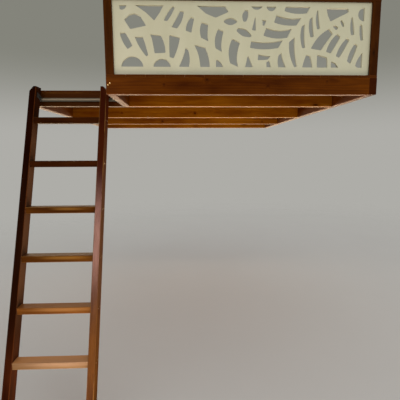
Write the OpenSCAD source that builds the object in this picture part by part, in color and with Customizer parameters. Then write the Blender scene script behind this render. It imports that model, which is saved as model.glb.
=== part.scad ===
// Sleeping loft for a small house, with a pierced guard panel and a leaning ladder.
// X runs along the front beam to the right, Y runs from the front to the back, Z is up.
// The origin is the centre of the right ledger's wall face.

/* [Loft frame] */
// Width between the two side walls that carry the loft
loft_w = 2300; // [1900:10:2700]
// Depth from the front edge to the back wall
loft_d = 2900; // [2400:10:3400]
// Clear height from the floor to the underside of the timbers
under_h = 1950; // [1800:10:2200]
// Height of every beam, joist and ledger
timber_h = 98; // [70:1:145]
// Thickness of every beam, joist and ledger
timber_t = 45; // [36:1:60]
// Place of the middle joist, as a share of the way from the hatch joist to the back ledger
joist_middle_share = 0.36; // [0.25:0.01:0.45]
// Place of the rear joist, as a share of the same way
joist_rear_share = 0.7; // [0.6:0.01:0.8]
// Thickness of the deck boards
deck_t = 15; // [12:1:28]

/* [Hatch] */
// Width of the ladder hatch, from the left wall to the trimmer
hatch_w = 676; // [620:1:800]
// Depth of the ladder hatch, from the front edge to the hatch joist
hatch_d = 548; // [480:1:700]

/* [Guard] */
// Width and depth of the square guard posts
post_w = 48; // [42:1:70]
// Height of the open bay between the deck and the top rail
guard_h = 415; // [360:1:600]
// Height of the top rail
rail_h = 45; // [30:1:70]
// Thickness of the guard panel
panel_t = 15; // [9:1:21]
// Depth of the panel groove in the posts and the top rail
groove_d = 10; // [6:1:15]
// Space left on each face of the panel in its groove
panel_fit = 0.5; // [0.3:0.1:1]
// Space left at the panel's ends and top in its grooves
panel_end_fit = 1; // [0.5:0.5:3]
// Corner radius of the cut leaves
leaf_corner = 5; // [2:0.5:8]
// Plain border at each side of the pierced field
border_side = 42; // [30:1:70]
// Plain border below the pierced field
border_low = 47; // [30:1:70]
// Plain border above the pierced field
border_high = 27; // [20:1:60]

/* [Ladder] */
// Lean of the ladder from upright, in degrees
lean = 19.5; // [12:0.5:22]
// Clear width between the ladder stiles
ladder_clear_w = 450; // [400:1:500]
// Thickness of the ladder stiles
stile_t = 45; // [28:1:50]
// Depth of the ladder stiles
stile_d = 86; // [75:1:110]
// Space between the left wall and the ladder
wall_to_ladder = 42; // [20:1:60]
// Height of the stiles' level tops above the hanging rail
stile_over = 79; // [60:1:120]
// Width of the outer corner that is taken off each stile's top
top_corner_w = 26; // [5:1:27]
// Height of that corner
top_corner_h = 36; // [5:1:60]
// Height of the lowest tread above the floor
first_tread_h = 354; // [250:1:370]
// Height from the highest tread up to the underside of the timbers
top_tread_drop = 96; // [60:1:160]
// Thickness of the treads
tread_t = 42; // [25:1:48]
// Step of the treads behind the stile edges
tread_set = 1; // [0:0.5:4]
// Depth of the housing that takes each tread end
housing_d = 12; // [8:1:16]

/* [Hanging rail] */
// Diameter of the metal rail on the hatch joist
bar_d = 25; // [20:1:34]
// Wall of the tube that the rail is made from
bar_wall = 2; // [1.5:0.5:3]
// Clear space between the rail and the hatch joist
bar_off = 10; // [6:1:20]
// Height of the rail's centre above the underside of the timbers
bar_z = 44; // [32:1:60]
// Space between the rail and the wall or the trimmer at its ends
bar_end = 10; // [6:1:30]
// Thickness of the metal in the brackets and the ladder hooks
plate_t = 5; // [3:1:6]
// Width of the brackets and the ladder hooks
plate_w = 30; // [24:1:36]

/* [Fits] */
// Space left between pieces that meet
fit = 0.3; // [0.2:0.1:0.5]
// Space left between the walls and what only stands beside them
wall_fit = 1; // [0.5:0.5:3]

/* [Hidden] */
$fn = 64;

pine = [0.60, 0.36, 0.14];
dark_pine = [0.38, 0.17, 0.08];
white = [0.88, 0.86, 0.78];
metal = [0.75, 0.75, 0.74];

trim_x = hatch_w - loft_w;               // left face of the trimmer and the front beam
back_y = loft_d - timber_t;              // front face of the back ledger
middle_y = hatch_d + joist_middle_share * (back_y - hatch_d);
rear_y = hatch_d + joist_rear_share * (back_y - hatch_d);
deck_z = timber_h + fit;                 // underside of the deck
post_z = deck_z + deck_t + fit;          // foot of the posts
rail_z = post_z + guard_h + fit;         // underside of the top rail
post_right_x = -wall_fit - post_w;
bay_x0 = trim_x + post_w;                // visible bay between the posts
bay_x1 = post_right_x;
panel_x0 = bay_x0 - groove_d + panel_end_fit;
panel_x1 = bay_x1 + groove_d - panel_end_fit;
panel_y = (post_w - panel_t) / 2;
panel_top = rail_z + groove_d - panel_end_fit;
field_x0 = bay_x0 + border_side;
field_w = bay_x1 - border_side - field_x0;
field_z0 = post_z + border_low;
field_h = rail_z - border_high - field_z0;

stile_left_x = -loft_w + wall_to_ladder;
stile_right_x = stile_left_x + stile_t + ladder_clear_w;
bar_y = hatch_d - bar_off - bar_d / 2;   // centre line of the rail
// The point on the back of the stiles that lies nearest to the rail
rest_y = bar_y - (bar_d / 2 + fit) * cos(lean);
rest_z = bar_z + (bar_d / 2 + fit) * sin(lean);
stile_top = rest_z + stile_over;
stile_run = stile_d / cos(lean);         // level depth through a stile
housing_x0 = stile_left_x + stile_t - housing_d;
housing_x1 = stile_right_x + housing_d;
tread_count = 6;                         // one node for each
tread_step = (under_h - first_tread_h - top_tread_drop) / (tread_count - 1);

// Y of the back face of the stiles at a height
function back_at(z) = rest_y + (z - rest_z) * tan(lean);
function tread_z(i) = -under_h + first_tread_h + (i - 1) * tread_step;

// Moves the loft from its front right corner to the row's origin
module place() {
  translate([0, -loft_d / 2, -timber_h / 2])
    children();
}

// A timber with its lowest corner at a point
module timber(p, s) {
  translate(p)
    cube(s);
}

// Frame

module front_beam() {
  color(pine)
  place()
    timber([trim_x, 0, 0], [-trim_x - timber_t - fit, timber_t, timber_h]);
}

module right_ledger() {
  color(pine)
  place()
    timber([-timber_t, 0, 0], [timber_t, loft_d, timber_h]);
}

module left_ledger() {
  y0 = hatch_d + timber_t + fit;
  color(pine)
  place()
    timber([-loft_w, y0, 0], [timber_t, loft_d - y0, timber_h]);
}

module back_ledger() {
  color(pine)
  place()
    timber([-loft_w + timber_t + fit, back_y, 0],
           [loft_w - 2 * (timber_t + fit), timber_t, timber_h]);
}

module hatch_trimmer() {
  y0 = timber_t + fit;
  color(pine)
  place()
    timber([trim_x, y0, 0], [timber_t, hatch_d - fit - y0, timber_h]);
}

module hatch_joist() {
  color(pine)
  place()
    timber([-loft_w, hatch_d, 0], [loft_w - timber_t - fit, timber_t, timber_h]);
}

module cross_joist(y) {
  timber([-loft_w + timber_t + fit, y, 0], [loft_w - 2 * (timber_t + fit), timber_t, timber_h]);
}

module joist_middle() {
  color(pine)
  place()
    cross_joist(middle_y);
}

module joist_rear() {
  color(pine)
  place()
    cross_joist(rear_y);
}

// Deck, in two parts round the hatch

module deck_main() {
  color(pine)
  place()
    timber([trim_x, 0, deck_z], [-trim_x - wall_fit, loft_d - wall_fit, deck_t]);
}

module deck_side() {
  color(pine)
  place()
    timber([-loft_w + wall_fit, hatch_d, deck_z],
           [hatch_w - wall_fit - fit, loft_d - wall_fit - hatch_d, deck_t]);
}

// Guard

module groove_cut() {
  translate([bay_x0 - groove_d, panel_y - panel_fit, post_z - groove_d])
    cube([bay_x1 - bay_x0 + 2 * groove_d, panel_t + 2 * panel_fit, guard_h + fit + 2 * groove_d]);
}

module post_left() {
  color(pine)
  place()
    difference() {
      timber([trim_x, 0, post_z], [post_w, post_w, guard_h]);
      groove_cut();
    }
}

module post_right() {
  color(pine)
  place()
    difference() {
      timber([post_right_x, 0, post_z], [post_w, post_w, guard_h]);
      groove_cut();
    }
}

module top_rail() {
  color(pine)
  place()
    difference() {
      timber([trim_x, 0, rail_z], [-trim_x - wall_fit, post_w, rail_h]);
      groove_cut();
    }
}

// Pierced leaves. Points of the field are shares of its width and height, so that the fronds
// spread over it, and leaf sizes are shares of one unit, so that each leaf keeps its form.

function mix(a, b, t) = a + (b - a) * t;
function on_field(q) = [q[0] * field_w, q[1] * field_h];
function rib_at(p, t) = (1 - t) * (1 - t) * p[0] + 2 * t * (1 - t) * p[1] + t * t * p[2];
function rib_way(p, t) = 2 * (1 - t) * (p[1] - p[0]) + 2 * t * (p[2] - p[1]);
function dir(a) = [cos(a), sin(a)];

field_ratio = 0.2365;                    // height of the field as drawn, as a share of its width
leaf_unit = min(field_h, field_w * field_ratio);
leaf_steps = 7;                          // straight stretches along each side of a leaf
corner_steps = 2;                        // and round each of its corners

// An outline with each sharp corner cut round, as a router bit leaves it
function soften(p) =
  let (n = len(p))
  [for (i = [0:n - 1])
    let (a = p[(i + n - 1) % n], b = p[i], c = p[(i + 1) % n])
    let (la = norm(a - b), lc = norm(c - b))
    let (u = (a - b) / la, v = (c - b) / lc)
    let (q = min(leaf_corner, 0.4 * la, 0.4 * lc))
    each (u * v > -0.8
      ? [for (k = [0:corner_steps]) let (t = k / corner_steps) b + q * ((1 - t) * (1 - t) * u + t * t * v)]
      : [b])];

// Middle line of a leaf that sets out on one way and bends evenly
function spine(o, l, way, bend) =
  [for (i = 0, q = o; i <= leaf_steps;
        q = q + l / leaf_steps * dir(way + bend * ((i + 0.5) / leaf_steps - 0.5)), i = i + 1) q];

// A hole in the form of a leaf. Its foot is slanted along the rib, at the angle rib_angle.
module leaf(o, l, way, foot_w, tip_w, bend, belly, rib_angle) {
  mid = spine(o, l, way, bend);
  lean_in = rib_angle - (way - bend / 2);
  slant = max(-0.9, min(0.9, cos(lean_in) / (abs(sin(lean_in)) > 0.3 ? sin(lean_in) : 0.3)));
  half = [for (i = [0:leaf_steps]) let (s = i / leaf_steps) mix(foot_w, tip_w, s) / 2 + belly * sin(180 * s)];
  out = [for (i = [0:leaf_steps])
    let (a = way + bend * (i / leaf_steps - 0.5))
    half[i] * (dir(a + 90) + (i == 0 ? slant : 0) * dir(a))];
  polygon(soften(concat(
    [for (i = [0:leaf_steps]) mid[i] + out[i]],
    [for (i = [leaf_steps:-1:0]) mid[i] - out[i]])));
}

// A row of leaves along one side of a curved rib
// leaves: for each leaf its place along the rib, its length and way, its width at the foot and at the
// tip, and where they differ from the row's, the further space from the rib and its own bend
// off, bend: the space from the rib's middle line and the bend, for the first and the last leaf
module leaf_row(rib, off, leaves, bend, belly) {
  pts = [for (q = rib) on_field(q)];
  last = max(1, len(leaves) - 1);
  for (i = [0:len(leaves) - 1]) {
    f = leaves[i];
    d = rib_way(pts, f[0]);
    a = atan2(d[1], d[0]);
    side = sin(f[2] - a) > 0 ? 90 : -90;
    space = mix(off[0], off[1], i / last) + (len(f) > 5 ? f[5] : 0);
    o = rib_at(pts, f[0]) + space * leaf_unit * dir(a + side);
    leaf(o, f[1] * leaf_unit, f[2], f[3] * leaf_unit, f[4] * leaf_unit,
         len(f) > 6 ? f[6] : mix(bend[0], bend[1], i / last), belly * leaf_unit, a);
  }
}

// A leaf that stands by itself
module lone_leaf(o, l, way, foot_w, tip_w, bend, belly) {
  leaf(on_field(o), l * leaf_unit, way, foot_w * leaf_unit, tip_w * leaf_unit, bend, belly * leaf_unit,
       way - bend / 2 + 90);
}

// A hole between the fronds, drawn by its corners
module gap_hole(corners) {
  polygon(soften([for (q = corners) on_field(q)]));
}

// A round hole, most of it cut off by the field's edge
module dome(c, r) {
  translate(on_field(c))
    circle(r * leaf_unit);
}

// Ribs of the fronds: start, control point and end of each curve
big_rib = [[0, 0.56], [0.26, 0.69], [0.446, -0.02]];
tall_rib = [[0.797, 1.02], [0.723, 0.63], [0.585, -0.05]];
low_rib = [[0.75, 0.27], [0.87, 0.25], [0.966, -0.05]];

module big_frond() {
  leaf_row(big_rib, [0.21, 0.09], [
    [0.353, 0.27, 57, 0.055, 0.04, 0, -2],
    [0.431, 0.305, 63, 0.09, 0.065, -0.055, 24],
    [0.553, 0.24, 72, 0.1, 0.055, -0.02],
    [0.7, 0.27, 90, 0.1, 0.12],
    [0.84, 0.34, 84, 0.09, 0.1],
    [1.01, 0.42, 86, 0.11, 0.15]], [-20, -44], 0.012);
  leaf_row(big_rib, [0.04, 0.04], [
    [0.015, 0.27, -62, 0.09, 0.1, -0.03],
    [0.145, 0.34, -66, 0.13, 0.04, 0.05],
    [0.285, 0.31, -76, 0.15, 0.19, 0, -22],
    [0.451, 0.36, -99, 0.185, 0.07, -0.04, -6],
    [0.585, 0.34, -100, 0.04, 0.17, 0.09, -28],
    [0.684, 0.5, -80, 0.14, 0.15, -0.04, -36]], [10, -10], 0.01);
  gap_hole([[0.017, 0.767], [0.036, 0.845], [0.058, 0.87], [0.082, 0.826], [0.105, 0.672], [0.041, 0.614]]);
  gap_hole([[0.387, -0.02], [0.389, 0.128], [0.407, 0.082], [0.42, -0.02]]);
  gap_hole([[0.055, 1.02], [0.082, 0.95], [0.107, 0.877], [0.138, 0.757], [0.162, 0.892], [0.178, 1.02]]);
}

module tall_frond() {
  leaf_row(tall_rib, [0.06, 0.06], [
    [0.11, 0.42, 178, 0.12, 0.11],
    [0.34, 0.42, 174, 0.11, 0.13],
    [0.525, 0.44, 177, 0.125, 0.14, 0, -36],
    [0.685, 0.53, 181, 0.11, 0.115, 0, -24],
    [0.87, 0.2, 178, 0.05, 0.1]], [-34, -10], 0);
  leaf_row(tall_rib, [0.07, 0.045], [
    [0.035, 0.31, -85, 0.015, 0.05],
    [0.185, 0.32, -85, 0.04, 0.06],
    [0.335, 0.38, -87, 0.045, 0.05, -0.02],
    [0.56, 0.47, -80, 0.09, 0.05, -0.01],
    [0.765, 0.26, -79, 0.04, 0.12]], [18, 30], 0.012);
}

module low_frond() {
  leaf_row(low_rib, [0.055, 0.06], [
    [0.215, 0.4, 50, 0.17, 0.11],
    [0.445, 0.34, 59, 0.09, 0.08],
    [0.627, 0.35, 60, 0.07, 0.055, -0.01],
    [0.85, 0.33, 69, 0.07, 0.055],
    [1.04, 0.27, 74, 0.13, 0.03, 0.02]], [-22, -8], 0.014);
  leaf_row(low_rib, [0.06, 0.06], [
    [0.095, 0.25, -92, 0.07, 0.19],
    [0.352, 0.25, -87, 0.17, 0.17, -0.03]], [0, 0], 0.01);
  gap_hole([[0.869, -0.02], [0.87, 0.105], [0.889, 0.072], [0.903, -0.02]]);
}

// Small leaves and holes that fill in between the fronds
module fillers() {
  gap_hole([[0.306, 1.02], [0.346, 0.877], [0.386, 0.811], [0.439, 0.907], [0.422, 1.02]]);
  gap_hole([[0.841, 0.98], [0.847, 0.87], [0.859, 0.767], [0.897, 0.848], [0.934, 0.921], [0.931, 0.983]]);
  gap_hole([[0.599, -0.02], [0.597, 0.086], [0.609, 0.115], [0.618, -0.02]]);
  lone_leaf([0.42, 0.753], 0.225, 0, 0.03, 0.03, 0, 0.045);
  lone_leaf([0.474, 0.621], 0.27, -24, 0.05, 0.03, -10, 0.04);
  lone_leaf([0.506, 0.753], 0.19, 80, 0.05, 0.05, -30, 0.025);
  lone_leaf([0.543, 0.611], 0.21, 84, 0.07, 0.012, 0, 0);
  lone_leaf([0.582, 0.69], 0.09, 80, 0.03, 0.07, 0, 0);
  lone_leaf([0.525, -0.03], 0.21, 95, 0.15, 0.02, 0, 0);
  lone_leaf([0.949, 0.838], 0.29, -85, 0.02, 0.06, 10, 0.012);
  lone_leaf([0.988, 0.722], 0.265, -84, 0.04, 0.045, 10, 0.008);
  lone_leaf([0.872, 0.694], 0.09, -30, 0.02, 0.05, 0, 0.01);
  lone_leaf([0.904, 0.786], 0.11, -66, 0.03, 0.03, 0, 0.008);
  dome([0.045, -0.02], 0.19);
  dome([0.166, -0.02], 0.152);
  dome([0.009, 1.006], 0.08);
  dome([1, 0.885], 0.11);
  dome([0.554, 1.063], 0.116);
  dome([0.613, 1.006], 0.08);
}

module guard_panel() {
  color(white)
  place()
    translate([0, panel_y + panel_t, 0])
      rotate([90, 0, 0])
        linear_extrude(panel_t)
          difference() {
            translate([panel_x0, post_z])
              square([panel_x1 - panel_x0, panel_top - post_z]);
            translate([field_x0, field_z0])
              intersection() {
                square([field_w, field_h]);
                union() {
                  big_frond();
                  tall_frond();
                  low_frond();
                  fillers();
                }
              }
          }
}

// Ladder

// Box of a tread, grown by a space all round and cut to the reach of the housings
module tread_box(i, grow, cut) {
  z1 = tread_z(i);
  y0 = back_at(z1) - stile_run + tread_set;
  y1 = back_at(z1 - tread_t) - tread_set;
  translate([housing_x0 + cut, y0 - grow, z1 - tread_t - grow])
    cube([housing_x1 - housing_x0 - 2 * cut, y1 - y0 + 2 * grow, tread_t + 2 * grow]);
}

// A stile is a leaning board that is cut level at the floor and at its top
// x: its left face
// outer, inward: the X of its outer face, and 1 or -1, the way from there to the treads
module stile(x, outer, inward) {
  difference() {
    translate([x, 0, 0])
      rotate([90, 0, 90])
        linear_extrude(stile_t)
          polygon([[back_at(-under_h) - stile_run, -under_h], [back_at(-under_h), -under_h],
                   [back_at(stile_top), stile_top], [back_at(stile_top) - stile_run, stile_top]]);
    translate([outer, back_at(stile_top) + 1, stile_top])
      rotate([90, 0, 0])
        linear_extrude(2 * stile_run)
          polygon([[-inward, 1], [inward * top_corner_w, 1], [inward * top_corner_w, 0],
                   [0, -top_corner_h], [-inward, -top_corner_h]]);
    for (i = [1:tread_count])
      tread_box(i, fit, -fit);
  }
}

module stile_left() {
  color(dark_pine)
  place()
    stile(stile_left_x, stile_left_x, 1);
}

module stile_right() {
  color(dark_pine)
  place()
    stile(stile_right_x, stile_right_x + stile_t, -1);
}

module tread(i) {
  color(dark_pine)
  place()
    tread_box(i, 0, 0);
}

module tread_1() { tread(1); }
module tread_2() { tread(2); }
module tread_3() { tread(3); }
module tread_4() { tread(4); }
module tread_5() { tread(5); }
module tread_6() { tread(6); }

// Hanging rail and its brackets

bar_x0 = -loft_w + bar_end;
bar_x1 = trim_x - bar_end;
bracket_in = 3;                          // from the rail's end to its bracket

module hanging_rail() {
  color(metal)
  place()
    translate([bar_x0, bar_y, bar_z])
      rotate([0, 90, 0])
        difference() {
          cylinder(d = bar_d, h = bar_x1 - bar_x0);
          translate([0, 0, -1])
            cylinder(d = bar_d - 2 * bar_wall, h = bar_x1 - bar_x0 + 2);
        }
}

// A plate on the joist with an ear that goes round the rail
module bracket(x) {
  difference() {
    union() {
      translate([x, hatch_d - fit - plate_t, bar_z - bar_d / 2 - plate_t])
        cube([plate_w, plate_t, bar_d + 2 * plate_t]);
      translate([x, bar_y, bar_z - bar_d / 2 - plate_t])
        cube([plate_t, hatch_d - fit - bar_y, bar_d + 2 * plate_t]);
      translate([x, bar_y, bar_z])
        rotate([0, 90, 0])
          cylinder(d = bar_d + 2 * plate_t, h = plate_t);
    }
    translate([x - 1, bar_y, bar_z])
      rotate([0, 90, 0])
        cylinder(d = bar_d + 2 * fit, h = plate_w + 2);
  }
}

module bracket_left() {
  color(metal)
  place()
    bracket(bar_x0 + bracket_in);
}

module bracket_right() {
  color(metal)
  place()
    translate([bar_x0 + bar_x1, 0, 0])
      mirror([1, 0, 0])
        bracket(bar_x0 + bracket_in);
}

// Ladder hooks: a plate on the inside of each stile with a round jaw over the rail

module hook(x) {
  difference() {
    translate([x, 0, 0])
      union() {
        translate([0, bar_y, bar_z])
          rotate([0, 90, 0])
            cylinder(r = bar_d / 2 + plate_t + 1, h = plate_t);
        translate([0, rest_y, rest_z])
          rotate([-lean, 0, 0])
            translate([0, -stile_d * 0.7, -plate_w / 2])
              cube([plate_t, stile_d * 0.7 + bar_d / 2, plate_w + 4]);
      }
    translate([x - 1, bar_y, bar_z])
      rotate([0, 90, 0])
        cylinder(d = bar_d + 2 * fit, h = plate_t + 2);
    translate([x - 1, bar_y - bar_d / 2 - fit, bar_z - 2 * bar_d])
      cube([plate_t + 2, bar_d + 2 * fit, 2 * bar_d]);
  }
}

module hook_left() {
  color(metal)
  place()
    hook(stile_left_x + stile_t + fit);
}

module hook_right() {
  color(metal)
  place()
    hook(stile_right_x - fit - plate_t);
}

front_beam();
right_ledger();
left_ledger();
back_ledger();
hatch_trimmer();
hatch_joist();
joist_middle();
joist_rear();
deck_main();
deck_side();
post_left();
post_right();
top_rail();
guard_panel();
stile_left();
stile_right();
tread_1();
tread_2();
tread_3();
tread_4();
tread_5();
tread_6();
hanging_rail();
bracket_left();
bracket_right();
hook_left();
hook_right();
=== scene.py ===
import math
import random

import bpy
from mathutils import Matrix, Vector


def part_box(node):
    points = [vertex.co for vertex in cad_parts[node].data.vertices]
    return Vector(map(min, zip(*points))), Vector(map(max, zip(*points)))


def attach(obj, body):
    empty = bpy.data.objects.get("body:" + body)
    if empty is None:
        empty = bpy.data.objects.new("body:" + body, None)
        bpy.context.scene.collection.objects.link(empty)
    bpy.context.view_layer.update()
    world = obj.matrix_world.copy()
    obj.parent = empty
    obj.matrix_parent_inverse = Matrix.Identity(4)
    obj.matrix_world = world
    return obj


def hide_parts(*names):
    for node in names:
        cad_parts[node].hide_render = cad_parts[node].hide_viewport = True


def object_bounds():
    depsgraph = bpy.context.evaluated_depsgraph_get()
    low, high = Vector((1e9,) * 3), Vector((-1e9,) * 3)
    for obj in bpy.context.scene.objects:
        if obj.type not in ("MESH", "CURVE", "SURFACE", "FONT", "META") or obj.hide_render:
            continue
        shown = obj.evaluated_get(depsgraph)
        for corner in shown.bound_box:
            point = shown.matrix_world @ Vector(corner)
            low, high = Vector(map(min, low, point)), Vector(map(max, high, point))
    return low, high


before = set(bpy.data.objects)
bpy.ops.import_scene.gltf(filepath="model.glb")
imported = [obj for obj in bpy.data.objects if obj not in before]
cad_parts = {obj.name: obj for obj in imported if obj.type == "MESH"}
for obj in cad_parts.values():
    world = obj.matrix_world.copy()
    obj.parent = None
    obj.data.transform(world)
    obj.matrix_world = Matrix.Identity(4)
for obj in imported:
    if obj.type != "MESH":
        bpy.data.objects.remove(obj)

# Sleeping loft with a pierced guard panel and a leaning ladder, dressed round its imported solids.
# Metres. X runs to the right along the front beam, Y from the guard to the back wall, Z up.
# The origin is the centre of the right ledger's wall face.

cad_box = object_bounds()
MM = 0.001
X, Y, Z = Vector((1, 0, 0)), Vector((0, 1, 0)), Vector((0, 0, 1))

# ---------------------------------------------------------------- values shared with the solids
FIT = 0.3 * MM                       # space left between pieces that meet
LEAN = math.radians(19.5)            # ladder, from upright
UP_STILE = Vector((0, math.sin(LEAN), math.cos(LEAN)))
OFF_STILE = Vector((0, -math.cos(LEAN), math.sin(LEAN)))     # square out of a stile's front
STILE_DEPTH = 86 * MM
STILE_REST = Vector((0, -0.936566, -0.000727))   # on a stile's back, where it meets the rail
STILE_OVER = 79 * MM                 # level top of a stile above that point
TOP_CORNER = Vector((26 * MM, 0, 36 * MM))       # taken off the outer corner of that top
GROOVE_DEPTH = 10 * MM
GROOVE_FROM = -0.5                   # height below the posts, so that their grooves run out
PANEL_PLAY = 0.5 * MM                # on each face of the panel in its groove
TUBE_WALL = 2 * MM
BRACKET_PLATE = 5 * MM
DECK_BOARDS = {"deck_main": 14, "deck_side": 6}
TREADS = [f"tread_{i}" for i in range(1, 7)]
FLOOR = cad_box[0][2]

# ---------------------------------------------------------------- edges, joints and screws
TIMBER_EDGE = 3 * MM                 # radii of edges: planed timber,
LADDER_EDGE = 4 * MM                 # the ladder, where hands and feet go,
BOARD_EDGE = 1.6 * MM                # the V of the deck's boards,
END_EDGE = 0.7 * MM                  # sawn ends and steel plates,
TUBE_EDGE = 0.5 * MM                 # the rail's ends,
PANEL_EDGE = 0.8 * MM                # and the panel, under its paint
BOARD_JOINT = 0.5 * MM
SAME_POINT = 0.01 * MM               # points closer than this are one
FRAME_SCREW = 3.6 * MM               # radii of screw heads
WALL_SCREW = 5.5 * MM
LADDER_SCREW = 4 * MM
BRACKET_SCREW = 3.5 * MM
DECK_SCREW = 3.2 * MM

# ---------------------------------------------------------------- values of the looks
# Seeds of the grain, chosen so that light and dark stretches lie as in the photograph. The
# boards of a deck take theirs in a row.
SEEDS = {"front_beam": 12100, "right_ledger": 101, "left_ledger": 102, "back_ledger": 10103,
         "hatch_trimmer": 104, "hatch_joist": 105, "joist_middle": 5106, "joist_rear": 11107,
         "post_left": 11130, "post_right": 7131, "top_rail": 132, "stile_left": 5150,
         "stile_right": 151, "tread_1": 2170, "tread_2": 10171, "tread_3": 7172, "tread_4": 1173,
         "tread_5": 5174, "tread_6": 2175, "deck_main": 580, "deck_side": 420}
# Knots that show in the photograph, on the front beam and on two joists: place and radius
BEAM_KNOTS = (((-1.029, -1.45, 0.036), 9 * MM), ((-1.284, -1.45, 0.007), 6 * MM),
              ((-0.663, -1.45, 0.0), 7 * MM), ((-0.306, -1.45, 0.027), 6 * MM))
JOIST_KNOTS = (((-1.068, -0.071, -0.009), 12 * MM), ((-1.782, -0.071, -0.006), 8 * MM),
               ((-1.441, 0.713, -0.016), 13 * MM), ((-0.233, 0.713, -0.02), 9 * MM))
KNOT_RIM = 0.12                      # what knot_nearness gives at the rim of a knot
RING_WIDTH = 6.5 * MM
STEP_PATCH = Vector((180, 60, 13)) * MM           # half widths of a tread's paler patch: wear and painted highlight
STEP_REACH = (1.5, 1.25, 1.0, 0.75, 0.5, 0.25)   # the lower the tread, the wider its paler patch
HATCH_SHADE_ENDS = (-1.62, -1.585)          # where the painted shade on the hatch joist fades out
# Heights between which the look of a stile changes
VARNISHED_UP_TO = (-0.68, -0.4)
SIDE_TONE_UP_TO = (-0.3, -0.1)
SIDE_TONE_FROM = (-1.5, -1.2)

# ---------------------------------------------------------------- camera, light and floor
# Solved from straight edges in the photograph
CAMERA_AT = Vector((-1.1534, -3.5943, -0.3939))
CAMERA_PITCH = math.radians(-7.7176)
CAMERA_YAW = math.radians(2.14)
CAMERA_ROLL = math.radians(-0.2374)
FOCAL_PIXELS = 348.95
PICTURE_PIXELS = 400
SENSOR_MM = 36.0
WHITE = (1.0, 1.0, 1.0)
WARM = (1.0, 0.88, 0.74)             # light that comes from below
PEACH = (1.0, 0.74, 0.46)            # low light that shines in the undersides
ROSE = (1.0, 0.78, 0.68)             # light that shines in the varnish of the ladder


def set_camera():
    """Puts the camera where the picture was taken from."""
    ahead = Vector((math.sin(CAMERA_YAW) * math.cos(CAMERA_PITCH),
                    math.cos(CAMERA_YAW) * math.cos(CAMERA_PITCH), math.sin(CAMERA_PITCH)))
    right = Vector((math.cos(CAMERA_YAW), -math.sin(CAMERA_YAW), 0))
    up = right.cross(ahead)
    level_right = right * math.cos(CAMERA_ROLL) + up * math.sin(CAMERA_ROLL)
    level_up = up * math.cos(CAMERA_ROLL) - right * math.sin(CAMERA_ROLL)
    bpy.ops.object.camera_add(location=CAMERA_AT)
    camera = bpy.context.object
    turn = Matrix((level_right, level_up, -ahead)).transposed()
    camera.matrix_world = Matrix.Translation(CAMERA_AT) @ turn.to_4x4()
    camera.data.sensor_width = SENSOR_MM
    camera.data.lens = FOCAL_PIXELS * SENSOR_MM / PICTURE_PIXELS
    camera.data.clip_end = 100
    bpy.context.scene.camera = camera


def soft_box(name, at, to, width, height, watts, colour=WHITE, lights=True, shines=True):
    """A large studio lamp that the camera doesn't see.

    It lights what is matt, or shines in what is glossy, or does both.
    """
    bpy.ops.object.light_add(type="AREA", location=at)
    lamp = bpy.context.object
    lamp.name = name
    lamp.data.shape = "RECTANGLE"
    lamp.data.size = width
    lamp.data.size_y = height
    lamp.data.energy = watts
    lamp.data.color = colour
    lamp.rotation_euler = (Vector(to) - Vector(at)).to_track_quat("-Z", "Y").to_euler()
    lamp.visible_camera = False
    lamp.visible_diffuse = lights
    lamp.visible_glossy = shines


# ---------------------------------------------------------------- materials
def srgb(code):
    """Linear colour from an sRGB hex code."""
    parts = [int(code[i:i + 2], 16) / 255 for i in (1, 3, 5)]
    linear = [p / 12.92 if p <= 0.04045 else ((p + 0.055) / 1.055) ** 2.4 for p in parts]
    return (*linear, 1.0)


def add(tree, kind, inputs=None, **settings):
    """Adds a node with its settings. An input given as a socket is linked, any other is set."""
    made = tree.nodes.new("ShaderNode" + kind)
    for key, value in settings.items():
        setattr(made, key, value)
    for key, value in (inputs or {}).items():
        if isinstance(value, bpy.types.NodeSocket):
            tree.links.new(value, made.inputs[key])
        else:
            made.inputs[key].default_value = value
    return made


def maths(tree, operation, *values, **settings):
    """One step of arithmetic on numbers."""
    return add(tree, "Math", dict(enumerate(values)), operation=operation, **settings).outputs[0]


def vector_maths(tree, operation, *values):
    """One step of arithmetic on vectors."""
    return add(tree, "VectorMath", dict(enumerate(values)), operation=operation)


def span(tree, value, start, end, low=0.0, high=1.0, soft=False):
    """Maps start to end onto low to high, with a soft or a straight run, and goes no further."""
    return add(tree, "MapRange", {"Value": value, "From Min": start, "From Max": end,
                                  "To Min": low, "To Max": high},
               interpolation_type="SMOOTHSTEP" if soft else "LINEAR").outputs[0]


def noise(tree, place, scale, detail, **more):
    """Soft noise. A scale of three numbers stretches it along the axes."""
    if isinstance(scale, tuple):
        place = add(tree, "Mapping", {"Vector": place, "Scale": scale}).outputs[0]
        scale = 1.0
    return add(tree, "TexNoise", {"Vector": place, "Scale": scale, "Detail": detail, **more})


def mix(tree, share, first, second):
    """A colour between two. Inputs 6 and 7 of the node are those two, output 2 is the mix."""
    colours = {slot: srgb(colour) if isinstance(colour, str) else colour
               for slot, colour in ((6, first), (7, second))}
    return add(tree, "Mix", {0: share, **colours}, data_type="RGBA").outputs[2]


def mark(tree, name):
    """How strongly a mesh is marked with an attribute of its own."""
    return add(tree, "Attribute", attribute_name=name).outputs["Fac"]


def object_place(tree):
    """Where a point lies in the shared frame, since every piece has its origin there."""
    return add(tree, "TexCoord").outputs["Object"]


def new_material(name):
    """An empty material and its tree."""
    material = bpy.data.materials.new(name)
    material.use_nodes = True
    material.node_tree.nodes.clear()
    return material, material.node_tree


def close_material(material, shader):
    """Shows a shader as the material's surface."""
    add(material.node_tree, "OutputMaterial", {"Surface": shader.outputs[0]})
    return material


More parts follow.
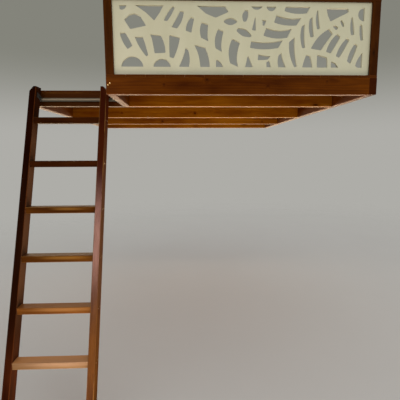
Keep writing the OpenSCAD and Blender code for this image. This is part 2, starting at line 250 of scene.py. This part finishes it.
def knot_nearness(tree, place, fibre, knots):
    """0 at the heart of a knot and rising away from it, with frayed rims.

    Knots are up to 35 mm across, and the cells' lots leave some of them out. To those come
    the ones with a place of their own.
    """
    cells = add(tree, "Mapping", {"Vector": place, "Scale": (4.6, 9.5, 9.5)}).outputs[0]
    cell = add(tree, "TexVoronoi", {"Vector": cells, "Scale": 1.0})
    lot = add(tree, "SeparateColor", {"Color": cell.outputs["Color"]}).outputs[0]
    size = span(tree, lot, 0.3, 1.0, 0.04, 1.3)
    frayed = maths(tree, "MULTIPLY_ADD", fibre, 0.2, -0.1)
    rim = maths(tree, "ADD", cell.outputs["Distance"], frayed)
    near = maths(tree, "DIVIDE", rim, size)
    for at, radius in knots:
        gap = vector_maths(tree, "DISTANCE", object_place(tree), at).outputs["Value"]
        ragged = maths(tree, "MULTIPLY_ADD", fibre, 10 * MM, gap)
        near = maths(tree, "MINIMUM", near, maths(tree, "DIVIDE", ragged, radius / KNOT_RIM))
    return near


def growth_rings(tree, place, swell):
    """Summer wood, from 0 to 1: each ring darkens slowly and ends sharply.

    The heart that the rings run round wanders by about 10 mm over half a metre. Real rings are
    2 to 4 mm wide; they are drawn wider, because those would not show here.
    """
    wander = noise(tree, place, (1.1, 4, 4), 2.0).outputs["Color"]
    bent = vector_maths(tree, "MULTIPLY_ADD", wander, (0, 0.04, 0.04), place).outputs[0]
    across = vector_maths(tree, "MULTIPLY", bent, (0, 1, 1)).outputs[0]
    from_heart = vector_maths(tree, "LENGTH", across).outputs["Value"]
    swollen = maths(tree, "ADD", from_heart, swell)
    counted = maths(tree, "DIVIDE", swollen, RING_WIDTH)
    uneven = add(tree, "TexNoise", {"W": counted, "Scale": 0.37, "Detail": 1.0},
                 noise_dimensions="1D").outputs[0]
    year = maths(tree, "FRACT", maths(tree, "MULTIPLY_ADD", uneven, 2.2, counted))
    return maths(tree, "SUBTRACT", span(tree, year, 0.25, 0.86, soft=True),
                 span(tree, year, 0.9, 1.0, soft=True))


def stained_pine(name, early, late, deep, knot, wear_and_highlight, varnish=0.08, rough=0.42, tint="#ffb070",
                 foot_wear_and_gleam=0.0, top_wear_and_light=None, lit_side_tone=None, shade_above=None, knots=()):
    """Sawn softwood, stained and varnished.

    The growth rings run round a heart that lies beside each board, so a face shows flames or
    straight lines and an end shows arcs. The stain takes unevenly, knots are dark with the
    rings bent round them, and ends drink more stain. Edges are painted paler: partly stain
    rubbed off, partly a painted highlight. The stretch of a timber that an attribute of its
    mesh marks is painted darker, as painted shade.
    """
    material, tree = new_material(name)
    place = add(tree, "Attribute", attribute_name="board").outputs["Vector"]
    # Fibres are under a tenth of a millimetre; streaks of 3 mm stand for them
    fibre = noise(tree, place, (7, 330, 330), 3.0, Roughness=0.6).outputs[0]
    near = knot_nearness(tree, place, fibre, knots)
    core = span(tree, near, 0.06, 0.19, 1.0, 0.0, soft=True)
    halo = span(tree, near, 0.12, 0.4, 0.55, 0.0, soft=True)
    summer = growth_rings(tree, place, span(tree, near, 0.0, 0.5, 0.016, 0.0, soft=True))
    patch = noise(tree, place, (3.4, 16, 16), 3.0).outputs[0]
    # One slow wave gives each board a tone of its own
    tone = noise(tree, place, (0.8, 0.3, 0.3), 1.0).outputs[0]

    streaks = maths(tree, "MULTIPLY_ADD", fibre, 0.5, -0.25)
    late_share = maths(tree, "MULTIPLY_ADD", summer, 0.45, streaks, use_clamp=True)
    colour = mix(tree, late_share, early, late)
    soaked = span(tree, maths(tree, "ADD", patch, tone), 0.78, 1.24, 0.0, 0.85)
    colour = mix(tree, soaked, colour, deep)
    colour = mix(tree, halo, colour, deep)
    colour = mix(tree, core, colour, knot)
    colour = mix(tree, maths(tree, "MULTIPLY", mark(tree, "end"), 0.85), colour, deep)
    # Painted shade: the marked stretch of the hatch joist is darkened towards the knot colour
    colour = mix(tree, maths(tree, "MULTIPLY", mark(tree, "hatch_shade"), 0.88), colour, knot)
    facing = add(tree, "SeparateXYZ", {"Vector": add(tree, "NewGeometry").outputs["Normal"]})
    shine = varnish
    if lit_side_tone:
        # A stile is painted darker towards its top, as painted shade, and its varnish is gone at
        # the very top.
        # Its sides are dull, and painted in a tone of their own as painted light and shade, but
        # less so in the hatch and near the floor.
        height = add(tree, "SeparateXYZ", {"Vector": object_place(tree)}).outputs["Z"]
        colour = mix(tree, span(tree, height, *shade_above, 0.0, 0.8, soft=True), colour, knot)
        side = span(tree, maths(tree, "ABSOLUTE", facing.outputs["X"]), 0.5, 0.9)
        side_lighting = maths(tree, "MULTIPLY", span(tree, height, *SIDE_TONE_UP_TO, 0.8, 0.1),
                       span(tree, height, *SIDE_TONE_FROM, 0.3, 1.0))
        colour = mix(tree, maths(tree, "MULTIPLY", side, side_lighting), colour, lit_side_tone)
        shine = maths(tree, "MULTIPLY", maths(tree, "MULTIPLY_ADD", side, -varnish, varnish),
                      span(tree, height, *VARNISHED_UP_TO, 1.0, 0.1, soft=True))
    if top_wear_and_light:
        # Tops of treads take a tone of their own: partly bare wood where feet wear them, partly
        # painted light.
        top_share = span(tree, facing.outputs["Z"], 0.5, 0.9, 0.0, 0.75)
        colour = mix(tree, top_share, colour, top_wear_and_light)
    # Rounded edges are painted paler: partly stain rubbed off, partly a painted highlight where
    # they catch the light.
    edge_wear_and_gleam = span(tree, patch, 0.45, 0.6, 0.1, 0.6)
    colour = mix(tree, maths(tree, "MULTIPLY", mark(tree, "edge"), edge_wear_and_gleam), colour, wear_and_highlight)
    if foot_wear_and_gleam:
        # The middle of a tread is painted paler, most of all just below its front edge: partly
        # stain rubbed off by feet, partly a painted highlight
        step = add(tree, "Attribute", attribute_name="step").outputs["Vector"]
        away = vector_maths(tree, "LENGTH", step).outputs["Value"]
        frayed = maths(tree, "MULTIPLY_ADD", fibre, 1.1, away)
        colour = mix(tree, span(tree, frayed, 0.7, 1.8, foot_wear_and_gleam, 0.0, soft=True), colour, wear_and_highlight)

    gloss = span(tree, fibre, 0.3, 0.7, rough - 0.06, rough + 0.06)
    ridge = maths(tree, "MULTIPLY_ADD", summer, 0.45, fibre)
    relief = maths(tree, "MULTIPLY_ADD", core, 0.5, ridge)
    bump = add(tree, "Bump", {"Height": relief, "Strength": 0.5, "Distance": 0.35 * MM})
    # A thin tinted varnish, so that it shines only where it is seen at a low angle
    return close_material(material, add(tree, "BsdfPrincipled", {
        "Base Color": colour, "Roughness": gloss, "IOR": 1.5, "Specular IOR Level": shine,
        "Specular Tint": srgb(tint), "Normal": bump.outputs[0]}))


def satin_paint():
    """Cream white oil paint, rolled on board: a faint orange peel and a soft sheen."""
    material, tree = new_material("satin_oil_paint")
    place = object_place(tree)
    # The roller's peel is about 1.5 mm; it is drawn at 4 mm so that it shows
    peel = noise(tree, place, 250.0, 2.0).outputs[0]
    passes = noise(tree, place, (9, 9, 1.6), 3.0).outputs[0]
    bump = add(tree, "Bump", {"Height": peel, "Strength": 0.35, "Distance": 0.25 * MM})
    return close_material(material, add(tree, "BsdfPrincipled", {
        "Base Color": mix(tree, span(tree, passes, 0.3, 0.7), "#aeab8e", "#b5b297"),
        "Roughness": span(tree, passes, 0.3, 0.7, 0.4, 0.52), "IOR": 1.5,
        "Normal": bump.outputs[0]}))


def ground_steel():
    """Stainless tube, ground round its length: fine lines across it and a broken highlight."""
    material, tree = new_material("ground_stainless_steel")
    # Grinding lines are about 0.1 mm apart; bands of 2 mm stand for them
    lines = noise(tree, object_place(tree), (500, 14, 14), 2.0).outputs[0]
    bump = add(tree, "Bump", {"Height": lines, "Strength": 0.25, "Distance": 0.05 * MM})
    return close_material(material, add(tree, "BsdfPrincipled", {
        "Base Color": mix(tree, lines, "#7c776a", "#9a9584"), "Metallic": 1.0,
        "Roughness": span(tree, lines, 0.3, 0.7, 0.55, 0.7), "Normal": bump.outputs[0]}))


def black_enamel():
    """Flat steel with baked black enamel: near black, a low sheen and a slight grain."""
    material, tree = new_material("black_baked_enamel")
    place = object_place(tree)
    grit = noise(tree, place, 700.0, 2.0).outputs[0]
    smear = noise(tree, place, 35.0, 2.0).outputs[0]
    bump = add(tree, "Bump", {"Height": grit, "Strength": 0.4, "Distance": 0.08 * MM})
    return close_material(material, add(tree, "BsdfPrincipled", {
        "Base Color": mix(tree, smear, "#1b1a19", "#292725"),
        "Roughness": span(tree, smear, 0.3, 0.7, 0.38, 0.55), "IOR": 1.5,
        "Normal": bump.outputs[0]}))


def zinc_plate():
    """Yellow passivated zinc on steel: a pale brass colour, dull in patches."""
    material, tree = new_material("yellow_zinc_plate")
    cloud = noise(tree, object_place(tree), 260.0, 2.0).outputs[0]
    return close_material(material, add(tree, "BsdfPrincipled", {
        "Base Color": mix(tree, cloud, "#8c7440", "#b5a676"), "Metallic": 1.0,
        "Roughness": span(tree, cloud, 0.0, 1.0, 0.25, 0.45)}))


def pale_floor():
    """Matt pale floor that fades out far away, so that no edge of it shows."""
    material, tree = new_material("matt_floor_paint")
    place = object_place(tree)
    mottle = noise(tree, place, 1.3, 3.0).outputs[0]
    matt = add(tree, "BsdfPrincipled", {
        "Base Color": mix(tree, mottle, "#c4c2bd", "#c8c6c1"), "Roughness": 0.9, "IOR": 1.5,
        "Specular IOR Level": 0.1})
    away = vector_maths(tree, "LENGTH", place).outputs["Value"]
    return close_material(material, add(tree, "MixShader", {
        0: span(tree, away, 3.0, 9.0, soft=True), 1: matt.outputs[0],
        2: add(tree, "BsdfTransparent").outputs[0]}))


# ---------------------------------------------------------------- shaping
def alone(piece):
    """Makes a piece the only selected object."""
    bpy.ops.object.select_all(action="DESELECT")
    piece.select_set(True)
    bpy.context.view_layer.objects.active = piece


def sawn(name, middle, size, lean=0.0):
    """A blank of timber or metal: a block at its size and place, turned about X where it leans."""
    bpy.ops.object.select_all(action="DESELECT")
    bpy.ops.mesh.primitive_cube_add(size=1, location=middle, rotation=(-lean, 0, 0))
    piece = bpy.context.object
    piece.name = piece.data.name = name
    piece.scale = size
    bpy.ops.object.transform_apply(location=True, rotation=True, scale=True)
    return piece


def sawn_like(name, node):
    """A blank that fills the box of a node."""
    low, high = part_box(node)
    return sawn(name, (low + high) / 2, high - low)


def open_mesh(piece, what, action="DESELECT"):
    """Opens a piece for editing by its points, edges or faces."""
    alone(piece)
    kinds = ("points", "edges", "faces")
    bpy.context.tool_settings.mesh_select_mode = [what == kind for kind in kinds]
    bpy.ops.object.mode_set(mode="EDIT")
    bpy.ops.mesh.select_all(action=action)


def close_mesh():
    """Ends the editing."""
    bpy.ops.object.mode_set(mode="OBJECT")


def pick(piece, what, test):
    """Opens a piece for editing with only the faces or edges selected that pass the test."""
    open_mesh(piece, what)
    close_mesh()
    mesh = piece.data
    if what == "faces":
        for face in mesh.polygons:
            face.select = test(face.center, face.normal)
    else:
        for edge in mesh.edges:
            a, b = (mesh.vertices[i].co for i in edge.vertices)
            edge.select = test((a + b) / 2, (b - a).normalized())
    bpy.ops.object.mode_set(mode="EDIT")


def split(piece, at, way, **settings):
    """Cuts right through a piece on a plane, and with the settings takes one side off."""
    open_mesh(piece, "faces", "SELECT")
    bpy.ops.mesh.bisect(plane_co=at, plane_no=way, **settings)
    close_mesh()


def ease_sharp(piece, width, sharper_than=50):
    """Takes the sharpness off every edge that still has it."""
    open_mesh(piece, "edges")
    bpy.ops.mesh.edges_select_sharp(sharpness=math.radians(sharper_than))
    bpy.ops.mesh.bevel(offset=width, segments=2, affect="EDGES")
    close_mesh()


def round_long_edges(piece, along, width, steps=3):
    """Rounds the edges that run along a board, and then eases its ends."""
    pick(piece, "edges", lambda middle, way: abs(way.dot(along)) > 0.99)
    bpy.ops.mesh.bevel(offset=width, segments=steps, affect="EDGES")
    close_mesh()
    ease_sharp(piece, END_EDGE)


def cut(piece, cutters):
    """Takes the cutters' shapes out of a piece."""
    alone(piece)
    for cutter in cutters:
        tool = piece.modifiers.new("cut", "BOOLEAN")
        tool.operation = "DIFFERENCE"
        tool.object = cutter
        bpy.ops.object.modifier_apply(modifier=tool.name)
        bpy.data.objects.remove(cutter)


def smooth(piece):
    """Smooth shading over rounded edges, with the large faces kept flat."""
    alone(piece)
    bpy.ops.object.shade_smooth_by_angle(angle=math.radians(40))
    even = piece.modifiers.new("even", "WEIGHTED_NORMAL")
    even.keep_sharp = True
    bpy.ops.object.modifier_apply(modifier=even.name)


def grain(piece, along, flat, rng):
    """Writes where each point lies in its board: along the grain, across its face, through it.

    Each board is cut from another place in another tree. Faces on rounded edges and on ends
    are marked too, for wear and for end grain.
    """
    along, flat = along.normalized(), flat.normalized()
    across = flat.cross(along)
    mesh = piece.data
    centre = sum((v.co for v in mesh.vertices), Vector()) / len(mesh.vertices)
    tree_place = Vector((rng.uniform(0, 40), rng.uniform(-60, 60) * MM,
                         rng.choice((-1, 1)) * rng.uniform(25, 85) * MM))
    board = mesh.attributes.new("board", "FLOAT_VECTOR", "POINT")
    for spot, point in zip(board.data, mesh.vertices):
        place = point.co - centre
        spot.vector = Vector((place.dot(along), place.dot(across), place.dot(flat))) + tree_place
    marks = {"edge": lambda turned: max(turned) < 0.995, "end": lambda turned: turned[0] > 0.9}
    for name, test in marks.items():
        corners = mesh.attributes.new(name, "FLOAT", "CORNER")
        for face in mesh.polygons:
            marked = test([abs(face.normal.dot(way)) for way in (along, across, flat)])
            for i in face.loop_indices:
                corners.data[i].value = float(marked)


def mark_step(tread, low, high, reach):
    """Writes how far each point of a tread lies from its paler patch of wear and painted
    highlight, in patch widths.
    """
    wear_and_highlight = STEP_PATCH * reach
    # A little right of the middle
    worn_from = Vector((0.4 * low.x + 0.6 * high.x, low.y, high.z - STEP_PATCH.z))
    step = tread.data.attributes.new("step", "FLOAT_VECTOR", "POINT")
    for spot, point in zip(step.data, tread.data.vertices):
        away = point.co - worn_from
        spot.vector = Vector((away.x / wear_and_highlight.x, away.y / wear_and_highlight.y, away.z / wear_and_highlight.z))


def finish_piece(piece, material, slot, *nodes):
    """Gives a piece its material, says what it rides on, and hides the solids it stands for."""
    piece.data.materials.clear()
    piece.data.materials.append(material)
    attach(piece, "root")
    if nodes:
        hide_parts(*nodes)
    return piece


def join(pieces, name):
    """Makes one piece of several."""
    bpy.ops.object.select_all(action="DESELECT")
    for piece in pieces:
        piece.select_set(True)
    bpy.context.view_layer.objects.active = pieces[0]
    bpy.ops.object.join()
    pieces[0].name = pieces[0].data.name = name
    return pieces[0]


# ---------------------------------------------------------------- the loft's timbers
def build_frame(pine, lit_joist_pine):
    """Beams, joists and ledgers: planed timber with rounded edges.

    The inner ones are painted paler, as painted light, but for the stretch in the hatch, which is
    painted darker, as painted shade.
    """
    runs = {"front_beam": X, "right_ledger": Y, "left_ledger": Y, "back_ledger": X,
            "hatch_trimmer": Y, "hatch_joist": X, "joist_middle": X, "joist_rear": X}
    for node, along in runs.items():
        timber = sawn_like(node + "_timber", node)
        if node == "hatch_joist":
            for x in HATCH_SHADE_ENDS:
                split(timber, (x, 0, 0), X)
        round_long_edges(timber, along, TIMBER_EDGE)
        smooth(timber)
        grain(timber, along, Y if along is X else X, random.Random(SEEDS[node]))
        # Marks the stretch in the hatch for painted shade
        if node == "hatch_joist":
            hatch_shade = timber.data.attributes.new("hatch_shade", "FLOAT", "POINT")
            for spot, point in zip(hatch_shade.data, timber.data.vertices):
                spot.value = float(point.co.x < sum(HATCH_SHADE_ENDS) / 2)
        inner = node in ("hatch_joist", "joist_middle", "joist_rear", "back_ledger")
        finish_piece(timber, lit_joist_pine if inner else pine, "pine", node)


def build_deck(pine):
    """Boards along Y, with a small V where they meet."""
    for node, count in DECK_BOARDS.items():
        low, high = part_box(node)
        pitch = (high.x - low.x) / count
        boards = []
        for i in range(count):
            x0 = low.x + i * pitch
            joint = BOARD_JOINT if i < count - 1 else 0
            middle = Vector((x0 + pitch / 2, (low.y + high.y) / 2, (low.z + high.z) / 2))
            size = Vector((pitch - joint, high.y - low.y, high.z - low.z))
            board = sawn(f"{node}_board_{i}", middle, size)
            round_long_edges(board, Y, BOARD_EDGE, steps=1)
            smooth(board)
            grain(board, Y, Z, random.Random(SEEDS[node] + i))
            boards.append(board)
        finish_piece(join(boards, node + "_boards"), pine, "deck", node)


def build_guard(pine, paint):
    """Posts and top rail with the panel's groove, and the pierced panel between them."""
    panel_low, panel_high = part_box("guard_panel")
    post_left, post_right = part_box("post_left")[1].x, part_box("post_right")[0].x
    groove_low = Vector((post_left - GROOVE_DEPTH, panel_low.y - PANEL_PLAY, GROOVE_FROM))
    groove_high = Vector((post_right + GROOVE_DEPTH, panel_high.y + PANEL_PLAY,
                          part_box("top_rail")[0].z + GROOVE_DEPTH))
    for node, along in (("post_left", Z), ("post_right", Z), ("top_rail", X)):
        timber = sawn_like(node + "_timber", node)
        round_long_edges(timber, along, TIMBER_EDGE)
        groove = sawn("groove", (groove_low + groove_high) / 2, groove_high - groove_low)
        cut(timber, [groove])
        smooth(timber)
        grain(timber, along, Y, random.Random(SEEDS[node]))
        finish_piece(timber, pine, "pine", node)

    panel = eased_copy("pierced_panel", "guard_panel", PANEL_EDGE)
    finish_piece(panel, paint, "panel", "guard_panel")


def eased_copy(name, node, width):
    """A copy of a node with its triangles merged into clean faces and its edges rounded."""
    piece = bpy.data.objects.new(name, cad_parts[node].data.copy())
    bpy.context.scene.collection.objects.link(piece)
    piece.data.name = name
    open_mesh(piece, "points", "SELECT")
    bpy.ops.mesh.remove_doubles(threshold=SAME_POINT)
    bpy.ops.mesh.dissolve_limited(angle_limit=math.radians(1))
    close_mesh()
    ease_sharp(piece, width, sharper_than=40)
    # Where the rounding of two close edges meets, its points fall together
    open_mesh(piece, "points", "SELECT")
    bpy.ops.mesh.remove_doubles(threshold=SAME_POINT)
    bpy.ops.mesh.dissolve_degenerate(threshold=SAME_POINT)
    close_mesh()
    smooth(piece)
    return piece


# ---------------------------------------------------------------- the ladder
def build_ladder(stile_pines, tread_pines):
    """Stiles cut level at both ends, with the outer top corner off and housings for the treads."""
    top = STILE_REST.z + STILE_OVER
    for node, out, pine in zip(("stile_left", "stile_right"), (-X, X), stile_pines):
        low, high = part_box(node)
        outer = low.x if out.x < 0 else high.x
        # Longer than the stile at both ends, and then cut to it
        length = (top - FLOOR) / math.cos(LEAN) + 2 * STILE_DEPTH
        half_way = ((top + FLOOR) / 2 - STILE_REST.z) / math.cos(LEAN)
        middle = (STILE_REST + OFF_STILE * STILE_DEPTH / 2 + UP_STILE * half_way
                  + X * (low.x + high.x) / 2)
        stile = sawn(node + "_timber", middle, (high.x - low.x, STILE_DEPTH, length), LEAN)
        slope = Vector((out.x * TOP_CORNER.z, 0, TOP_CORNER.x)).normalized()
        for at, away in (((0, 0, FLOOR), -Z), ((0, 0, top), Z),
                         ((outer, 0, top - TOP_CORNER.z), slope)):
            split(stile, at, away, clear_outer=True, use_fill=True)
        round_long_edges(stile, UP_STILE, LADDER_EDGE)
        housings = []
        for tread in TREADS:
            t_low, t_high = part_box(tread)
            housings.append(sawn("housing", (t_low + t_high) / 2,
                                 t_high - t_low + Vector((1, 1, 1)) * 2 * FIT))
        cut(stile, housings)
        smooth(stile)
        grain(stile, UP_STILE, OFF_STILE, random.Random(SEEDS[node]))
        finish_piece(stile, pine, "ladder", node)
    for node, pine, reach in zip(TREADS, tread_pines, STEP_REACH):
        tread = sawn_like(node + "_board", node)
        round_long_edges(tread, X, LADDER_EDGE)
        smooth(tread)
        grain(tread, X, Z, random.Random(SEEDS[node]))
        mark_step(tread, *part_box(node), reach)
        finish_piece(tread, pine, "ladder", node)


# ---------------------------------------------------------------- rail, brackets, hooks and screws
def build_rail(steel, enamel):
    """The tube that the ladder hooks on, its brackets and the ladder's hooks."""
    low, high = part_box("hanging_rail")
    bpy.ops.object.select_all(action="DESELECT")
    bpy.ops.mesh.primitive_cylinder_add(
        vertices=48, radius=(high.z - low.z) / 2, depth=high.x - low.x, end_fill_type="NOTHING",
        location=(low + high) / 2, rotation=(0, math.pi / 2, 0))
    tube = bpy.context.object
    tube.name = tube.data.name = "rail_tube"
    bpy.ops.object.transform_apply(location=True, rotation=True, scale=True)
    wall = tube.modifiers.new("wall", "SOLIDIFY")
    wall.thickness = TUBE_WALL
    wall.offset = -1
    bpy.ops.object.modifier_apply(modifier=wall.name)
    ease_sharp(tube, TUBE_EDGE)
    smooth(tube)
    finish_piece(tube, steel, "metal", "hanging_rail")
    for node in ("bracket_left", "bracket_right"):
        finish_piece(eased_copy(node + "_plate", node, END_EDGE), steel, "metal", node)
    for node in ("hook_left", "hook_right"):
        finish_piece(eased_copy(node + "_plate", node, END_EDGE), enamel, "hook_metal", node)


def screw_heads(name, places, radius, material, slot):
    """Countersunk heads with a round driver socket, one for each (place, way out) pair."""
    heads = []
    bpy.ops.object.select_all(action="DESELECT")
    bpy.ops.mesh.primitive_cylinder_add(vertices=16, radius=radius, depth=1.2 * MM)
    model = bpy.context.object
    bpy.ops.object.transform_apply(location=True, rotation=True, scale=True)
    pick(model, "faces", lambda centre, normal: normal.z > 0.9)
    bpy.ops.mesh.inset(thickness=radius * 0.14)
    bpy.ops.transform.translate(value=(0, 0, 0.15 * MM))
    bpy.ops.mesh.inset(thickness=radius * 0.4)
    bpy.ops.mesh.extrude_region_move(TRANSFORM_OT_translate={"value": (0, 0, -0.9 * MM)})
    close_mesh()
    for at, way in places:
        head = model.copy()
        head.data = model.data.copy()
        bpy.context.scene.collection.objects.link(head)
        turn = Vector(way).to_track_quat("Z", "Y").to_matrix().to_4x4()
        head.data.transform(Matrix.Translation(Vector(at) - 0.25 * MM * Vector(way)) @ turn)
        heads.append(head)
    bpy.data.objects.remove(model)
    heads = join(heads, name)
    smooth(heads)
    return finish_piece(heads, material, slot)


def build_screws(zinc, steel, enamel):
    """Screws of the deck, the frame, the rail's brackets and the ladder's hooks."""
    # Two at the left end of the front beam, where they show
    beam_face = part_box("front_beam")[0].y
    places = [((-1.612, beam_face, 0.003), -Y), ((-1.601, beam_face, 0.015), -Y)]
    # Through the joist into the trimmer, from behind
    low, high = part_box("hatch_trimmer")
    for z in (-0.024, 0.024):
        places.append((((low.x + high.x) / 2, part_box("hatch_joist")[1].y, z), Y))
    screw_heads("frame_screws", places, FRAME_SCREW, zinc, "metal")
    # Heavier ones hold the ledgers to the walls' studs, some 600 mm apart
    right, left, back = (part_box(side + "_ledger") for side in ("right", "left", "back"))
    places = [((right[0].x, y, -0.005), -X) for y in (-1.075, -0.48, 0.12, 0.66, 1.28)]
    places += [((left[1].x, y, -0.011), X) for y in (-0.49, 0.12, 0.66, 1.28)]
    places += [((x, back[0].y, 0.004), -Y) for x in (-2.08, -1.47, -0.86, -0.25)]
    screw_heads("wall_screws", places, WALL_SCREW, zinc, "metal")

    # Through each stile into the ends of the treads
    places = []
    for tread in TREADS:
        low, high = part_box(tread)
        for share in (0.27, 0.73):
            at = low + (high - low) * share
            places.append(((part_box("stile_left")[0].x, at.y, (low.z + high.z) / 2), -X))
            places.append(((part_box("stile_right")[1].x, at.y, (low.z + high.z) / 2), X))
    screw_heads("tread_screws", places, LADDER_SCREW, zinc, "metal")

    places = []
    for reach in (28 * MM, 48 * MM):
        at = STILE_REST + OFF_STILE * reach + UP_STILE * 2 * MM
        places.append(((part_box("hook_left")[1].x, at.y, at.z), X))
        places.append(((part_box("hook_right")[0].x, at.y, at.z), -X))
    screw_heads("hook_screws", places, LADDER_SCREW, enamel, "hook_metal")

    # Beside the ears of the brackets, in the face that lies on the joist
    plate_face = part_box("bracket_left")[1].y - BRACKET_PLATE
    places = []
    for node, share in (("bracket_left", 0.62), ("bracket_right", 0.38)):
        low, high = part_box(node)
        for z in (low.z + 7 * MM, high.z - 7 * MM):
            places.append(((low.x + (high.x - low.x) * share, plate_face, z), -Y))
    screw_heads("bracket_screws", places, BRACKET_SCREW, steel, "metal")

    # Two in each board over each timber that it crosses
    deck_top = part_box("deck_main")[1].z
    crossed = ("front_beam", "hatch_joist", "joist_middle", "joist_rear", "back_ledger")
    lines = [sum(corner.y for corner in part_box(node)) / 2 for node in crossed]
    places = []
    for node, count in DECK_BOARDS.items():
        low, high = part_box(node)
        pitch = (high.x - low.x) / count
        for i in range(count):
            for share in (0.22, 0.78):
                x = low.x + (i + share) * pitch
                places += [((x, y, deck_top), Z) for y in lines if y > low.y]
    screw_heads("deck_screws", places, DECK_SCREW, zinc, "metal")


# ---------------------------------------------------------------- all of it
def build():
    """The materials, and with them the pieces."""
    frame_pine = stained_pine("stained_pine_timber", "#582b02", "#381501", "#2b0a01", "#180501",
                              "#6c3a0e", knots=BEAM_KNOTS)
    guard_pine = stained_pine("stained_pine_guard", "#421f02", "#2a1001", "#200801", "#160501",
                              "#5c300c")
    # Paler than the timber pine, as painted light on the inner timbers
    lit_joist_pine = stained_pine("stained_pine_joists", "#8a5309", "#6b3a05", "#532203", "#2a0c02",
                              "#a8702c", knots=JOIST_KNOTS)
    deck_pine = stained_pine("stained_pine_boards", "#744410", "#532a07", "#3a1603", "#2b1003",
                             "#8f5c24", rough=0.5)
    # Both stiles are one pine: the left is painted darker, as painted shade, and the right
    # lighter, as painted light.
    left_pine = stained_pine("shaded_stile_pine", "#4a200c", "#300d04", "#1a0502", "#0c0200",
                             "#54290f", varnish=0.04, lit_side_tone="#4f3422",
                             shade_above=(-1.75, -1.4))
    right_pine = stained_pine("lit_stile_pine", "#60380e", "#401f08", "#2a0f05", "#340702",
                              "#8a6030", varnish=0.36, rough=0.26, tint="#ffd8d0",
                              lit_side_tone="#4f3422", shade_above=(-1.3, -0.5))
    # The lower a tread, the paler it is: partly stain and varnish lost to wear, partly painted
    # light; the top two are painted in shade
    bare_pine = stained_pine("bare_pine_tread", "#826444", "#6c4c30", "#52341c", "#3a1c08",
                             "#8f7057", varnish=0.02, foot_wear_and_gleam=0.8, top_wear_and_light="#c2854f")
    worn_pine = stained_pine("worn_pine_tread", "#7c4c20", "#623a14", "#48260a", "#2c1206",
                             "#8a5e34", varnish=0.02, foot_wear_and_gleam=0.8, top_wear_and_light="#7e4a20")
    trodden_pine = stained_pine("trodden_pine_treads", "#5a340e", "#442208", "#301404", "#1a0602",
                                "#7a5424", varnish=0.02, foot_wear_and_gleam=0.75, top_wear_and_light="#5c3820")
    shaded_tread_pine = stained_pine("dark_pine_treads", "#3c1a06", "#200a02", "#140501", "#100401",
                             "#4a2c10", varnish=0.02, foot_wear_and_gleam=0.2, top_wear_and_light="#40261a")
    paint, steel, enamel, zinc = satin_paint(), ground_steel(), black_enamel(), zinc_plate()
    build_frame(frame_pine, lit_joist_pine)
    build_deck(deck_pine)
    build_guard(guard_pine, paint)
    build_ladder((left_pine, right_pine),
                 (bare_pine, worn_pine, trodden_pine, trodden_pine, shaded_tread_pine, shaded_tread_pine))
    build_rail(steel, enamel)
    build_screws(zinc, steel, enamel)


def build_floor():
    """A wide floor under the ladder's feet."""
    bpy.ops.object.select_all(action="DESELECT")
    bpy.ops.mesh.primitive_circle_add(vertices=96, radius=14, fill_type="NGON", location=(0, 0, 0))
    floor = bpy.context.object
    floor.name = floor.data.name = "studio_floor"
    floor.data.transform(Matrix.Translation((-1.15, 0, FLOOR)))
    floor.data.materials.append(pale_floor())


def build_world():
    """Even white light, and a backdrop that is seen and mirrored but lights nothing."""
    world = bpy.data.worlds.new("studio")
    bpy.context.scene.world = world
    world.use_nodes = True
    tree = world.node_tree
    tree.nodes.clear()
    path = add(tree, "LightPath")
    seen = maths(tree, "MAXIMUM", path.outputs["Is Camera Ray"], path.outputs["Is Glossy Ray"])
    seen = maths(tree, "MAXIMUM", seen, path.outputs["Is Transmission Ray"])
    light = add(tree, "Background", {"Color": (1, 1, 1, 1), "Strength": 0.7})
    # The backdrop is pale low down and grey above, where the pale panel stands against it
    way = add(tree, "TexCoord").outputs["Generated"]
    up = add(tree, "SeparateXYZ", {"Vector": way}).outputs["Z"]
    grey = mix(tree, span(tree, up, 0.04, 0.26, soft=True), "#aeada8", "#84847b")
    backdrop = add(tree, "Background", {"Color": grey, "Strength": 1.0})
    both = add(tree, "MixShader", {0: seen, 1: light.outputs[0], 2: backdrop.outputs[0]})
    add(tree, "OutputWorld", {"Surface": both.outputs[0]})


def build_lamps():
    """A soft key light, warm light from below, and lamps that only shine in the varnish."""
    soft_box("key", (0.8, -4.8, 1.2), (-1.2, -0.6, -0.2), 3.0, 3.0, 35)
    soft_box("sheen", (-2.72, -4.8, 0.65), (-1.74, -1.35, -0.9), 0.5, 1.3, 62, ROSE,
             lights=False)
    # These two lie on the floor and shine up, so they don't light the floor itself
    just_over = FLOOR + 0.02
    soft_box("glow_front", (-1.4, -2.5, just_over), (-1.4, -2.5, 0.0), 1.5, 1.3, 50, WARM,
             shines=False)
    soft_box("glow_under", (-0.85, 0.0, just_over), (-0.85, 0.0, 0.0), 1.5, 2.6, 66, WARM,
             shines=False)
    soft_box("behind", (-1.15, 2.3, -0.5), (-1.15, 0, 0.5), 2.2, 0.8, 14, WARM, shines=False)
    # The undersides of the timbers shine in the light of the last two
    soft_box("low_sheen", (-1.1, 2.2, -0.42), (-1.1, 0, -0.42), 6.0, 0.7, 33, PEACH,
             lights=False)
    soft_box("under_sheen", (-1.1, 2.2, -0.66), (-1.1, 0, -0.66), 6.0, 0.4, 115, PEACH,
             lights=False)


set_camera()
build()
build_floor()
build_world()
build_lamps()
bpy.context.scene.view_settings.view_transform = "Standard"
